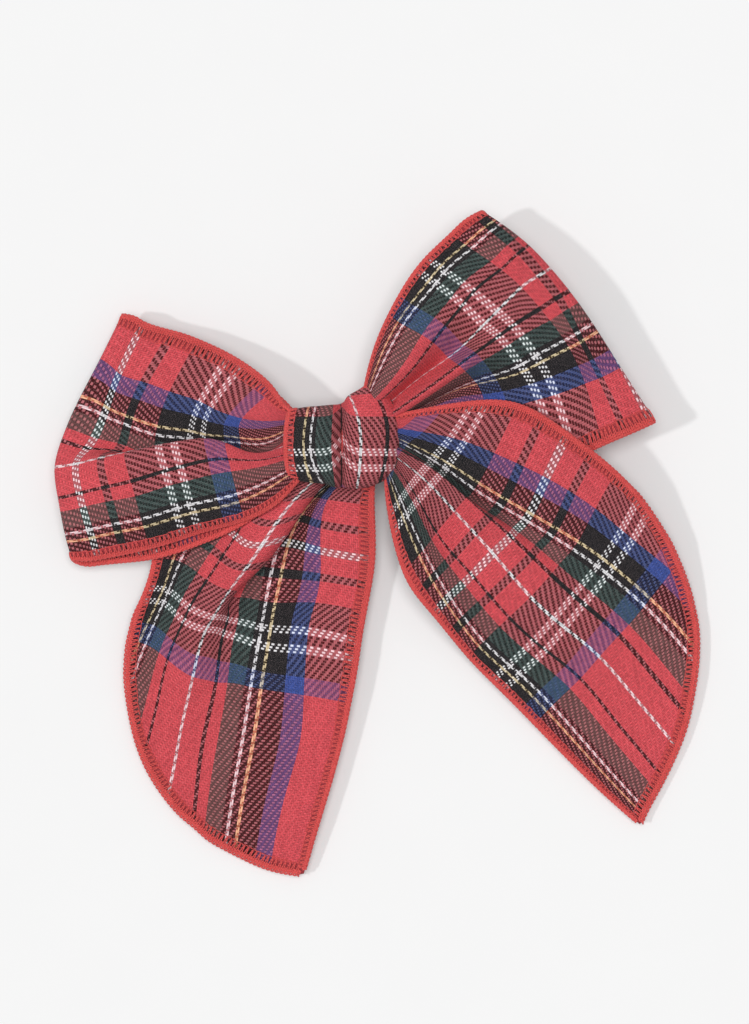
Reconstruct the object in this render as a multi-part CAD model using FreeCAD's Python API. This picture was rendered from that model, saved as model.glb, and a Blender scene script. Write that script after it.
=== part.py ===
"""Hair bow: a knotted bow of serged plaid twill on a sprung alligator clip.

The bow lies face up on a table. +X points to its right, +Y to the top of the loops and +Z up out of
its face. The origin is under the middle of the knot, on the surface that the clip's lever rests on.
Lengths are in millimetres.
"""
import FreeCAD
import Part
import math
import os

Vector = FreeCAD.Vector

# ---- driving dimensions ----
STRIP_WIDTH = 51.0        # the strip that the loops and tails are cut from
CLOTH = 0.8               # thickness that the soft solids are given
SERGING_WIDTH = 2.3       # overlock stitching along every cut edge
SERGING_THICKNESS = 1.1
SEAM_GAP = 0.03           # between a cloth panel and its stitched edge
FOLD_DEPTH = 1.15         # from the front layer to the back layer where a loop folds over

CLIP_ANGLE = 15.0         # the clip lies along the loops, turned this far from +X
ARM_THICKNESS = 0.6
UPPER_ARM_WIDTH = 8.0
LOWER_ARM_WIDTH = 6.4
CLIP_TIP = -27.0          # front end of the upper arm, along the clip
LOWER_TIP = -26.0         # front end of the toothed arm
LEVER_END = 23.0          # back end of both finger levers
HINGE_U = 9.0             # pin centre, along the clip and above the table
HINGE_Z = 2.8
UPPER_PLATE_Z = 4.6       # underside of the upper arm
UPPER_LEVER_START = 10.5
UPPER_LEVER_ANGLE = 14.0
JAW_PLATE_Z = 2.5         # underside of the toothed arm's jaw
JAW_BEND = (5.0, 7.6)     # where the toothed arm bends down from the jaw to the lever
TOOTH_PITCH = 2.0
TOOTH_LENGTH = 1.8
TOOTH_HEIGHT = 1.05
TOOTH_COUNT = 8
TOOTH_SINK = 0.05         # how far a tooth's root reaches into the plate
PIN_RADIUS = 0.75
PIN_PRESS_CLEARANCE = 0.01
PIN_RUNNING_CLEARANCE = 0.05
PIN_HEAD_RADIUS = 1.25
PIN_HEAD_THICKNESS = 0.4
PIN_HEAD_GAP = 0.02
EAR_RADIUS = 1.7
SPRING_COIL_RADIUS = 1.15
SPRING_WIRE_RADIUS = 0.25
SPRING_PITCH = 0.7
SPRING_TURNS = 4.5
SPRING_LEG = 7.0
SPRING_LEG_GAP = 0.08     # the bend between coil and leg is left out
SPRING_LEVER_GAP = 0.02
LINING_THICKNESS = 0.35
LINING_WIDTH = 7.0
LINING_END = 5.0          # how far back the ribbon lining reaches
LINING_TIP_GAP = 0.05     # between the arm's round tip and the ribbon's turn
GLUE_LINE = 0.01          # the thin gap left between bonded pieces

WRAP_THICKNESS = 0.9
WRAP_MOUTH = 0.5          # how far the bore of the wrap runs on past each end
WRAP_EDGE_DRAW = 0.5      # how much its stitched edge is drawn in
WRAP_Z = 10.9             # mid height of the bundle inside the knot
WRAP_HALF_HEIGHT = 3.7
# stations of the knot wrap, left to right: x, middle y, half depth in y
WRAP_STATIONS = [(-12.2, -0.7, 6.4), (-8.0, -0.5, 7.9), (0.0, -0.2, 8.7), (5.4, 0.4, 9.0), (9.6, -1.4, 7.0)]
WAIST_STATIONS = [(-8.8, 0.85), (-5.0, 0.72), (-2.0, 0.68), (1.0, 0.72), (4.4, 0.85)]
WAIST_Y = -0.2
WAIST_HALF_DEPTH = 7.0
WAIST_HALF_HEIGHT = 2.3
THREAD_SPAN = (-3.6, -0.6)
THREAD_THICKNESS = 0.4
GLUE_SIZE = (16.0, 7.0)
GLUE_CENTRE = -3.0
GLUE_TOP = 6.05
GLUE_CORNER = 0.2
CLEAR = 20.0              # half size of cutting blocks, well past everything they cut

# ---- soft panels: rows from the knot outwards, each row across the strip from edge to edge ----
# Points are on the upper face. Each row has five.
LEFT_LOOP_FRONT = [
    [(-10.6, 4.0, 11.8), (-10.6, 2.0, 11.9), (-10.6, -0.4, 12.0), (-10.6, -2.8, 11.9), (-10.6, -5.0, 11.6)],
    [(-21.0, 14.6, 11.2), (-21.5, 7.5, 10.8), (-22.0, 0.0, 13.4), (-22.0, -6.2, 14.4), (-21.0, -12.2, 10.0)],
    [(-33.0, 21.0, 8.8), (-36.0, 11.4, 8.6), (-39.0, 0.6, 11.6), (-41.0, -9.6, 13.4), (-39.8, -21.0, 7.4)],
    [(-45.0, 25.4, 5.2), (-51.6, 12.0, 5.8), (-58.0, -3.6, 7.2), (-57.6, -13.0, 6.4), (-54.6, -24.0, 4.2)],
]
RIGHT_LOOP_FRONT = [
    [(4.8, 7.0, 11.2), (5.4, 5.4, 11.3), (6.0, 3.6, 11.4), (6.6, 1.6, 11.3), (7.0, -0.6, 11.1)],
    [(4.8, 17.5, 12.8), (9.0, 13.8, 14.2), (13.0, 9.5, 12.6), (15.5, 5.0, 11.9), (17.0, -0.5, 11.2)],
    [(10.6, 31.0, 12.6), (18.0, 25.6, 14.8), (25.0, 18.0, 14.6), (30.0, 9.0, 12.2), (33.0, -1.2, 9.9)],
    [(26.8, 46.2, 10.2), (37.0, 38.8, 10.8), (45.6, 27.4, 11.2), (54.0, 16.4, 10.4), (61.2, 4.4, 9.4)],
]
LEFT_TAIL = [
    [(5.2, -6.0, 7.0), (1.4, -5.8, 7.0), (-2.4, -5.6, 7.0), (-6.0, -5.2, 7.0), (-9.4, -4.6, 7.0)],
    [(5.5, -17.0, 5.4), (-0.5, -17.0, 6.2), (-7.0, -16.0, 7.0), (-14.0, -14.0, 7.4), (-20.0, -11.4, 6.8)],
    [(4.4, -32.0, 3.6), (-5.6, -32.4, 2.6), (-16.0, -31.4, 4.6), (-26.0, -28.4, 5.6), (-37.6, -23.4, 4.2)],
    [(2.0, -45.0, 3.4), (-9.4, -47.0, 1.8), (-21.0, -47.6, 3.4), (-32.4, -46.0, 3.2), (-44.6, -42.0, 3.0)],
    [(-0.8, -58.4, 3.2), (-11.2, -61.6, 1.2), (-21.6, -64.0, 1.0), (-32.0, -65.0, 1.4), (-41.6, -61.8, 2.6)],
    [(-4.4, -71.0, 2.8), (-11.8, -75.0, 1.1), (-19.2, -77.8, 0.9), (-26.6, -78.4, 1.1), (-33.4, -74.4, 2.2)],
    [(-8.2, -81.6, 2.0), (-11.4, -83.4, 1.1), (-14.8, -84.2, 0.9), (-18.4, -83.8, 1.0), (-22.2, -81.6, 1.8)],
    [(-9.8, -86.3, 1.6), (-10.8, -86.2, 1.4), (-11.8, -86.0, 1.3), (-12.8, -85.7, 1.4), (-13.8, -85.3, 1.5)],
]
RIGHT_TAIL = [
    [(5.6, 5.4, 12.9), (6.0, 2.8, 13.0), (6.2, -0.2, 12.9), (6.2, -3.4, 12.3), (5.6, -6.2, 11.2)],
    [(22.8, 7.8, 14.2), (20.0, 3.0, 13.2), (16.8, -3.0, 11.8), (12.6, -9.8, 11.0), (8.4, -16.6, 8.0)],
    [(42.0, 3.2, 12.8), (37.6, -5.4, 9.6), (31.6, -14.4, 7.2), (24.4, -23.8, 5.4), (16.2, -33.0, 3.4)],
    [(61.4, -14.0, 5.0), (54.6, -23.2, 3.4), (46.6, -32.2, 2.2), (37.8, -40.6, 1.6), (28.2, -47.4, 1.8)],
    [(70.2, -38.0, 3.8), (64.6, -45.0, 1.5), (58.2, -51.6, 0.9), (51.0, -57.6, 0.9), (43.4, -62.8, 1.6)],
    [(65.2, -63.0, 2.8), (62.6, -66.2, 1.5), (59.8, -69.0, 1.0), (56.8, -71.2, 0.9), (53.4, -71.6, 1.3)],
    [(59.6, -75.2, 1.6), (59.0, -75.5, 1.4), (58.4, -75.7, 1.3), (57.8, -75.6, 1.3), (57.2, -75.4, 1.4)],
]
# how far each loop's back layer lies under its front, at the same points
LEFT_LOOP_DEPTH = [
    (1.9, 1.9, 1.9, 1.9, 1.9),
    (2.4, 2.6, 4.8, 5.5, 1.6),
    (5.0, 6.4, 10.2, 10.6, 1.4),
    (FOLD_DEPTH,) * 5,
]
RIGHT_LOOP_DEPTH = [
    (1.9, 1.9, 1.9, 1.9, 1.9),
    (3.4, 4.6, 3.0, 2.2, 1.9),
    (4.4, 6.6, 5.4, 2.6, 2.2),
    (FOLD_DEPTH,) * 5,
]

parts = {}


def add(name, shape):
    """Keep a shape as a named node after a validity test."""
    if not shape.isValid():
        print("INVALID", name)
    parts[name] = shape


def in_clip(shape):
    """Turn a shape built along the clip into place."""
    placed = shape.copy()
    placed.rotate(Vector(0, 0, 0), Vector(0, 0, 1), CLIP_ANGLE)
    return placed


# ---- cloth ----

def surface_through(rows):
    """A smooth surface through rows of points."""
    surface = Part.BSplineSurface()
    surface.interpolate([[Vector(*point) for point in row] for row in rows])
    return surface


def panel_slice(rows, start, end, thickness, lift=0.0):
    """The part of a panel between two shares of its width, as a solid of even depth."""
    surface = surface_through(rows)
    u0, u1, v0, v1 = surface.bounds()
    piece = surface.copy()
    piece.segment(u0, u1, v0 + (v1 - v0) * start, v0 + (v1 - v0) * end)
    face = Part.Face(piece)
    face.translate(Vector(0, 0, lift))
    return face.extrude(Vector(0, 0, -thickness))


def panel(rows):
    """A cloth panel without its two stitched edges."""
    margin = SERGING_WIDTH / STRIP_WIDTH
    gap = SEAM_GAP / STRIP_WIDTH
    return panel_slice(rows, margin + gap, 1.0 - margin - gap, CLOTH)


def edge_stitching(rows, edge):
    """The overlocked margin along the first or the second edge of a panel."""
    margin = SERGING_WIDTH / STRIP_WIDTH
    proud = (SERGING_THICKNESS - CLOTH) / 2
    start, end = (0.0, margin) if edge == "first" else (1.0 - margin, 1.0)
    return panel_slice(rows, start, end, SERGING_THICKNESS, proud)


def back_layer(front, depths):
    """The hidden layer of a loop: the front's outline, lower by the depth at each point."""
    return [[(x, y, z - depth) for (x, y, z), depth in zip(row, row_depths)]
            for row, row_depths in zip(front, depths)]


def loop(side, front, depths):
    """One loop: a strip folded at its outer end, as front and back layers with stitched edges."""
    back = back_layer(front, depths)
    add(side + "_loop_front", panel(front))
    add(side + "_loop_back", panel(back))
    for name, edge in (("upper", "first"), ("lower", "second")):
        layers = [edge_stitching(rows, edge) for rows in (front, back)]
        add(side + "_loop_" + name + "_serging", Part.makeCompound(layers))


def tail(side, rows):
    """One pointed tail with the stitching along both of its edges."""
    add(side + "_tail", panel(rows))
    add(side + "_tail_serging", Part.makeCompound([edge_stitching(rows, "first"), edge_stitching(rows, "second")]))


# ---- knot ----

def oval(x, y, half_depth, half_height):
    """A closed oval across the bow, at one x."""
    across, up = Vector(0, half_depth, 0), Vector(0, 0, half_height)
    centre = Vector(x, y, WRAP_Z)
    if half_depth < half_height:
        across, up = up, across
    return Part.Wire(Part.Ellipse(centre + across, centre + up, centre).toShape())


def oval_loft(stations):
    """A solid through ovals given as (x, y, half depth, half height)."""
    return Part.makeLoft([oval(*station) for station in stations], True)


def wrap_ring(stations, wall):
    """A tube of cloth round the bundle: outer ovals less the same ovals a wall smaller."""
    outer = [(x, y, depth, WRAP_HALF_HEIGHT) for x, y, depth in stations]
    inner = [(x, y, depth - wall, WRAP_HALF_HEIGHT - wall) for x, y, depth in stations]
    first, last = inner[0], inner[-1]
    inner = [(first[0] - WRAP_MOUTH,) + first[1:]] + inner[1:-1] + [(last[0] + WRAP_MOUTH,) + last[1:]]
    return oval_loft(outer).cut(oval_loft(inner))


def knot():
    """The wrap with its stitched left edge, the gathered middle of the strip and its binding thread."""
    add("knot_wrap", wrap_ring(WRAP_STATIONS, WRAP_THICKNESS))

    x, y, depth = WRAP_STATIONS[0]
    edge = [(x - SERGING_WIDTH / 2, y, depth - WRAP_EDGE_DRAW), (x - SEAM_GAP, y, depth)]
    add("knot_serging", wrap_ring(edge, SERGING_THICKNESS))

    waist = oval_loft([(x, WAIST_Y, WAIST_HALF_DEPTH * share, WAIST_HALF_HEIGHT * share)
                       for x, share in WAIST_STATIONS])
    start, end = THREAD_SPAN
    grown = oval_loft([(x, WAIST_Y, WAIST_HALF_DEPTH * share + THREAD_THICKNESS,
                        WAIST_HALF_HEIGHT * share + THREAD_THICKNESS) for x, share in WAIST_STATIONS])
    span = Part.makeBox(end - start, 2 * CLEAR, 2 * CLEAR, Vector(start, -CLEAR, WRAP_Z - CLEAR))
    add("gathered_waist", waist)
    add("gathering_thread", grown.cut(waist).common(span))


# ---- clip ----

def bent_strip(outline, thickness, width):
    """A strip of sheet metal: its side view is a polyline of (u, z) along its underside."""
    lower = [Vector(u, -width / 2, z) for u, z in outline]
    normals = []
    for i in range(len(outline)):
        before = lower[max(i, 1)] - lower[max(i, 1) - 1]
        after = lower[min(i + 1, len(lower) - 1)] - lower[min(i, len(lower) - 2)]
        mean = before.normalize() + after.normalize()
        mean.normalize()
        length = thickness / abs(mean.dot(before))
        normals.append(Vector(-mean.z, 0, mean.x) * length)
    upper = [point + normal for point, normal in zip(lower, normals)]
    face = Part.Face(Part.makePolygon(lower + upper[::-1] + [lower[0]]))
    return face.extrude(Vector(0, width, 0))


def rounded_end(width, tip):
    """Everything behind a half-round front end, as a tall block to cut a strip with."""
    corner = Vector(tip + width / 2, -width / 2, -CLEAR)
    block = Part.makeBox(4 * CLEAR, width, 2 * CLEAR, corner)
    disc = Part.makeCylinder(width / 2, 2 * CLEAR, corner + Vector(0, width / 2, 0))
    return block.fuse(disc)


def ear_pair(inner_half_width, base_z, hole_radius):
    """Two side ears round the pin, from the plate's level to the pin."""
    ears = []
    for y in (inner_half_width, -inner_half_width - ARM_THICKNESS):
        disc = Part.makeCylinder(EAR_RADIUS, ARM_THICKNESS, Vector(HINGE_U, y, HINGE_Z), Vector(0, 1, 0))
        low, high = min(base_z, HINGE_Z), max(base_z, HINGE_Z)
        web = Part.makeBox(2 * EAR_RADIUS, ARM_THICKNESS, high - low, Vector(HINGE_U - EAR_RADIUS, y, low))
        ears.append(disc.fuse(web))
    hole = Part.makeCylinder(hole_radius, 2 * CLEAR, Vector(HINGE_U, -CLEAR, HINGE_Z), Vector(0, 1, 0))
    return ears[0].fuse(ears[1]).cut(hole)


def upper_arm():
    """The flat arm that is glued to the bow, with its raised finger lever and the outer ears."""
    rise = (LEVER_END - UPPER_LEVER_START) * math.tan(math.radians(UPPER_LEVER_ANGLE))
    outline = [(CLIP_TIP, UPPER_PLATE_Z), (UPPER_LEVER_START, UPPER_PLATE_Z), (LEVER_END, UPPER_PLATE_Z + rise)]
    plate = bent_strip(outline, ARM_THICKNESS, UPPER_ARM_WIDTH)
    plate = plate.common(rounded_end(UPPER_ARM_WIDTH, CLIP_TIP))
    ears = ear_pair(UPPER_ARM_WIDTH / 2 - ARM_THICKNESS, UPPER_PLATE_Z + ARM_THICKNESS / 2,
                    PIN_RADIUS + PIN_PRESS_CLEARANCE)
    return plate.fuse(ears).removeSplitter()


def lower_arm():
    """The toothed jaw and its finger lever, which lies flat on the table."""
    outline = [(LOWER_TIP, JAW_PLATE_Z), (JAW_BEND[0], JAW_PLATE_Z), (JAW_BEND[1], 0.0), (LEVER_END, 0.0)]
    plate = bent_strip(outline, ARM_THICKNESS, LOWER_ARM_WIDTH)
    first = LOWER_TIP + LOWER_ARM_WIDTH / 2
    base = JAW_PLATE_Z + ARM_THICKNESS - TOOTH_SINK
    profile = [(0.0, base), (TOOTH_LENGTH, base), (TOOTH_LENGTH / 2, base + TOOTH_HEIGHT), (0.0, base)]
    for i in range(TOOTH_COUNT):
        start = first + i * TOOTH_PITCH
        outline = Part.makePolygon([Vector(start + u, -LOWER_ARM_WIDTH / 2, z) for u, z in profile])
        tooth = Part.Face(outline).extrude(Vector(0, LOWER_ARM_WIDTH, 0))
        plate = plate.fuse(tooth)
    plate = plate.common(rounded_end(LOWER_ARM_WIDTH, LOWER_TIP))
    ears = ear_pair(LOWER_ARM_WIDTH / 2 - ARM_THICKNESS, ARM_THICKNESS / 2,
                    PIN_RADIUS + PIN_RUNNING_CLEARANCE)
    return plate.fuse(ears).removeSplitter()


def pin():
    """The hinge rivet with a head at each end."""
    reach = UPPER_ARM_WIDTH / 2 + PIN_HEAD_GAP
    shaft = Part.makeCylinder(PIN_RADIUS, 2 * reach, Vector(HINGE_U, -reach, HINGE_Z), Vector(0, 1, 0))
    for start in (-reach - PIN_HEAD_THICKNESS, reach):
        head = Part.makeCylinder(PIN_HEAD_RADIUS, PIN_HEAD_THICKNESS, Vector(HINGE_U, start, HINGE_Z),
                                 Vector(0, 1, 0))
        shaft = shaft.fuse(head)
    return shaft.removeSplitter()


def spring():
    """The torsion spring: a coil round the pin with a leg against each lever."""
    height = SPRING_PITCH * SPRING_TURNS
    helix = Part.makeHelix(SPRING_PITCH, height, SPRING_COIL_RADIUS)
    section = Part.Wire(Part.makeCircle(SPRING_WIRE_RADIUS, Vector(SPRING_COIL_RADIUS, 0, 0), Vector(0, 1, 0)))
    coil = Part.Wire(helix).makePipeShell([section], True, True)
    # built along +Z from +X: turn it so that it starts over the pin and ends under it
    coil.rotate(Vector(0, 0, 0), Vector(0, 0, 1), 90)
    coil.rotate(Vector(0, 0, 0), Vector(1, 0, 0), 90)
    coil.translate(Vector(HINGE_U, height / 2, HINGE_Z))
    upper_slope = math.tan(math.radians(UPPER_LEVER_ANGLE))
    upper_leg = Part.makeCylinder(SPRING_WIRE_RADIUS, SPRING_LEG,
                                  Vector(HINGE_U + SPRING_LEG_GAP, height / 2, HINGE_Z + SPRING_COIL_RADIUS),
                                  Vector(1, 0, upper_slope))
    lower_start = HINGE_Z - SPRING_COIL_RADIUS
    lower_end = ARM_THICKNESS + SPRING_WIRE_RADIUS + SPRING_LEVER_GAP
    lower_leg = Part.makeCylinder(SPRING_WIRE_RADIUS, SPRING_LEG,
                                  Vector(HINGE_U + SPRING_LEG_GAP, -height / 2, lower_start),
                                  Vector(SPRING_LEG, 0, lower_end - lower_start))
    return Part.makeCompound([coil, upper_leg, lower_leg])


def lining():
    """The ribbon glued round the upper arm: under it, round its tip and back over it."""
    under = UPPER_PLATE_Z - LINING_THICKNESS
    over = UPPER_PLATE_Z + ARM_THICKNESS
    inside = CLIP_TIP - LINING_TIP_GAP
    tip = inside - LINING_THICKNESS
    height = over + LINING_THICKNESS - under
    sleeve = Part.makeBox(LINING_END - tip, LINING_WIDTH, height, Vector(tip, -LINING_WIDTH / 2, under))
    hollow = Part.makeBox(LINING_END - inside + CLEAR, LINING_WIDTH, ARM_THICKNESS + 2 * GLUE_LINE,
                          Vector(inside, -LINING_WIDTH / 2, UPPER_PLATE_Z - GLUE_LINE))
    return sleeve.cut(hollow)


def clip():
    """The whole alligator clip and the glue that holds it to the knot."""
    add("clip_upper_arm", in_clip(upper_arm()))
    add("clip_lower_arm", in_clip(lower_arm()))
    add("clip_hinge_pin", in_clip(pin()))
    add("clip_spring", in_clip(spring()))
    add("clip_ribbon_lining", in_clip(lining()))
    bottom = UPPER_PLATE_Z + ARM_THICKNESS + LINING_THICKNESS + GLUE_LINE
    length, width = GLUE_SIZE
    pad = Part.makeBox(length, width, GLUE_TOP - bottom, Vector(GLUE_CENTRE - length / 2, -width / 2, bottom))
    upright = [edge for edge in pad.Edges if abs(edge.tangentAt(0).z) > 0.9]
    pad = pad.makeFillet(GLUE_CORNER, upright)
    add("glue_pad", in_clip(pad))


def report():
    """Print each node's box, volume and validity."""
    for name, shape in sorted(parts.items()):
        box = shape.optimalBoundingBox(False)
        print("%-28s x %6.1f %6.1f  y %6.1f %6.1f  z %6.2f %6.2f  vol %8.1f solids %d closed %s" % (
            name, box.XMin, box.XMax, box.YMin, box.YMax, box.ZMin, box.ZMax, shape.Volume,
            len(shape.Solids), all(s.isClosed() for s in shape.Shells)))


def main():
    loop("left", LEFT_LOOP_FRONT, LEFT_LOOP_DEPTH)
    loop("right", RIGHT_LOOP_FRONT, RIGHT_LOOP_DEPTH)
    tail("left", LEFT_TAIL)
    tail("right", RIGHT_TAIL)
    knot()
    clip()
    report()
    os.makedirs("parts", exist_ok=True)
    for name, shape in parts.items():
        shape.exportStep("parts/" + name + ".step")


main()
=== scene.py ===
"""Looks of the plaid hair bow: folded cloth, overlock stitching, knot wrap, ribbon-lined clip and studio."""

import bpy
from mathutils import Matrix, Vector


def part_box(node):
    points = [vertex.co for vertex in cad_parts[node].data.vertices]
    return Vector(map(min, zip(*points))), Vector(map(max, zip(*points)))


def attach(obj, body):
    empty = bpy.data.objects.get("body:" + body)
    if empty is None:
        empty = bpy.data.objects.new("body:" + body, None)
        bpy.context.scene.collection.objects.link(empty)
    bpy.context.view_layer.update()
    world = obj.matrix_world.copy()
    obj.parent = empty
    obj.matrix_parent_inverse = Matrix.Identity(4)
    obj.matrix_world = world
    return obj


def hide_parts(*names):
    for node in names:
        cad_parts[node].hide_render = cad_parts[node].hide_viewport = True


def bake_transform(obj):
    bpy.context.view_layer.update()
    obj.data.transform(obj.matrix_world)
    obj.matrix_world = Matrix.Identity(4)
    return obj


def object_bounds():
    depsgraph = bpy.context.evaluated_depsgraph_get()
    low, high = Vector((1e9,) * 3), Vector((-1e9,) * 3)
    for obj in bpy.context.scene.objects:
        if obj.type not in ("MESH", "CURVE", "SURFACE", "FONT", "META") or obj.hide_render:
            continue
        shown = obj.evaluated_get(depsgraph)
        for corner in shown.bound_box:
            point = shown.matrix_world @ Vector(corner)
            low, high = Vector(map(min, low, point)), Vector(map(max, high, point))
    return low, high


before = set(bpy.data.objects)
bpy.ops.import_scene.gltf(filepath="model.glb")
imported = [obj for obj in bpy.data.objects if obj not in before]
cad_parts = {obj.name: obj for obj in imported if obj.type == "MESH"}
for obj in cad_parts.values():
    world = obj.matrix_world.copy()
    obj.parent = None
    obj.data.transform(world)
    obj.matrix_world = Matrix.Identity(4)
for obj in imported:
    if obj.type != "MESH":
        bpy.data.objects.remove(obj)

import math

import bpy
import numpy as np

CAD_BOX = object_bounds()
MM = 0.001

# ---- cloth ----
STRIP = 51.0              # cut width of the strip, mm
CLOTH = 0.45              # thickness that shows, mm
CELL = 0.42               # mesh cell across and along the strip, mm
END_PITCH = 0.30          # warp threads, across the strip
PICK_PITCH = 0.52         # weft threads, along it
WEFT_SHOWS = 0.33         # half width of a pick that shows between the ends, as a share of its pitch
HALF_REPEAT = 49.3        # mirror to mirror of the tartan, along the strip, mm
UV_UNIT = 100.0           # mm of cloth to one unit of the texture coordinates

# ---- overlock stitching ----
SERGE_WIDTH = 2.15
STITCH_PITCH = 0.93
THREAD = 0.135            # radius of the looper threads, mm
NEEDLE_THREAD = 0.09
BED_THREAD = 0.19
BRAID = 0.20
GATHERING_THREAD = 0.2
WINDINGS = 6              # of the gathering thread round the waist
BRAID_SWING = (0.12, 0.17)  # how far the braid's strands swing in and out, and up and down
# one looper stitch: in to the needle line and back, fanned out towards the edge. Each point is (along, in
# stitches; in from the edge, in seam widths; height, in 0.8 of a thread's radius)
STITCH_FAN = [(-0.27, -0.03, 0.6), (-0.25, 0.15, 1.6), (-0.19, 0.45, 1.7), (-0.11, 0.80, 1.3),
              (0.00, 1.00, 0.3), (0.11, 0.80, 1.3), (0.19, 0.45, 1.7), (0.25, 0.15, 1.6),
              (0.27, -0.03, 0.6), (0.50, -0.06, 0.2)]
NEEDLE_STITCH = [(0.02, -0.8), (0.2, 0.3), (0.5, 0.6), (0.8, 0.3), (0.98, -0.8)]
BED = [(0.05, 0.05), (0.33, 0.08), (0.55, 0.12)]  # strands of the bed: in from the edge, and their swing
UNDER_STITCH_SHADE = 0.55       # painted shade: how light the cloth's colour stays under its overlock stitching

# yarn colours, as linear light
RED = (0.705, 0.080, 0.098)
BLACK = (0.014, 0.014, 0.016)
GREEN = (0.045, 0.092, 0.080)
BLUE = (0.045, 0.085, 0.330)
YELLOW = (0.760, 0.560, 0.240)
WHITE = (0.800, 0.780, 0.800)
FUZZ = (0.80, 0.62, 0.62) # loose fibres over all of them
GAMMA = 2.2
MINGLE = 0.80             # how far crossing yarns take on each other's hue, each at its own lightness
LUMA = (0.299, 0.587, 0.114)

# the tartan across the strip: colour up to each distance from edge A, mm
WARP_SETT = [(8.6, RED), (11.8, BLUE), (15.4, BLACK), (16.3, YELLOW), (17.2, BLACK), (18.1, WHITE),
             (18.8, BLACK), (22.4, GREEN), (24.8, RED), (25.7, BLACK), (30.6, RED), (31.2, WHITE),
             (36.3, RED), (37.2, BLACK), (39.6, RED), (43.2, GREEN), (43.9, BLACK), (44.8, WHITE),
             (45.8, BLACK), (46.6, YELLOW), (48.8, BLACK), (51.2, RED)]
# and along it, from one mirror line to the next
WEFT_SETT = [(0.78, WHITE), (4.6, RED), (6.0, BLACK), (10.4, RED), (16.9, BLACK), (18.5, WHITE),
             (20.1, BLACK), (21.7, WHITE), (26.1, BLACK), (30.3, BLUE), (49.4, RED)]

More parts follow.
